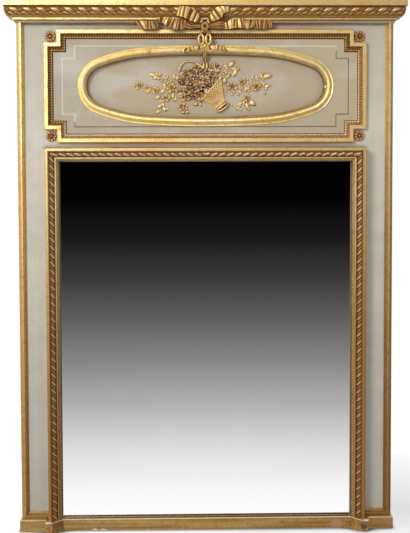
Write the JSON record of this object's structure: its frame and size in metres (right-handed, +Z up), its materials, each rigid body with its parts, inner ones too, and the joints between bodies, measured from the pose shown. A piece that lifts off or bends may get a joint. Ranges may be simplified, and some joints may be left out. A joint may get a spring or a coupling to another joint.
{
  "type": "trumeau mirror",
  "caption": "Tall framed wall mirror on a low plinth, with a painted upper panel, gilded mouldings, a ribbon bow under the cornice and a carved flower basket in an oval.",
  "frame": {"origin": "on the floor, in the middle of the overall width and of the overall depth", "axes": "+Z is up, -Y is the front that faces the room, +X is to the right of a person who looks at the mirror"},
  "size_m": [1.424, 0.116, 1.9],
  "materials": {
    "painted_wood": "faded grey-green oil paint on softwood, yellowed and streaked",
    "gilded_wood": "water gilding over red bole, worn along the edges",
    "gilded_carving": "carved and gilded, dark in the hollows, worn on the high spots",
    "bare_softwood": "bare softwood, aged brown",
    "mirror_plate": "silvered plate glass",
    "screw_steel": "dull steel"
  },
  "bodies": {
    "root": {"back_batten_bottom": "bare_softwood", "back_batten_middle": "bare_softwood", "back_batten_top": "bare_softwood", "back_screws": "screw_steel", "backboard_1": "bare_softwood", "backboard_2": "bare_softwood", "backboard_3": "bare_softwood", "base_rail": "gilded_wood", "border_foot_left": "gilded_wood", "border_foot_right": "gilded_wood", "border_left": "gilded_wood", "border_right": "gilded_wood", "corner_block_left": "gilded_wood", "corner_block_right": "gilded_wood", "corner_rosettes": "gilded_carving", "cornice_bed": "painted_wood", "cornice_front": "gilded_wood", "cornice_leaf": "gilded_carving", "cornice_return_left": "gilded_wood", "cornice_return_right": "gilded_wood", "flower_basket": "gilded_carving", "flower_cluster": "gilded_carving", "frieze_rail": "painted_wood", "glazing_blocks": "bare_softwood", "left_stile": "painted_wood", "middle_rail": "painted_wood", "mirror_beads": "gilded_carving", "mirror_frame_left": "gilded_wood", "mirror_frame_right": "gilded_wood", "mirror_frame_top": "gilded_wood", "mirror_glass": "mirror_plate", "mirror_leaf_left": "gilded_carving", "mirror_leaf_right": "gilded_carving", "mirror_leaf_top": "gilded_carving", "oval_beads": "gilded_carving", "oval_frame_lower_left": "gilded_wood", "oval_frame_lower_right": "gilded_wood", "oval_frame_upper_left": "gilded_wood", "oval_frame_upper_right": "gilded_wood", "oval_panel": "painted_wood", "panel_frame_bottom": "gilded_wood", "panel_frame_left": "gilded_wood", "panel_frame_right": "gilded_wood", "panel_frame_top": "gilded_wood", "panel_leaf": "gilded_carving", "pendant_ribbon": "gilded_carving", "plinth_block_left": "gilded_wood", "plinth_block_right": "gilded_wood", "raised_field": "painted_wood", "ribbon_knot": "gilded_carving", "ribbon_loop_left": "gilded_carving", "ribbon_loop_right": "gilded_carving", "ribbon_tail_left": "gilded_carving", "ribbon_tail_right": "gilded_carving", "right_stile": "painted_wood", "spray_left": "gilded_carving", "spray_right": "gilded_carving", "top_board": "bare_softwood", "upper_panel": "painted_wood"}
  },
  "joints": []
}
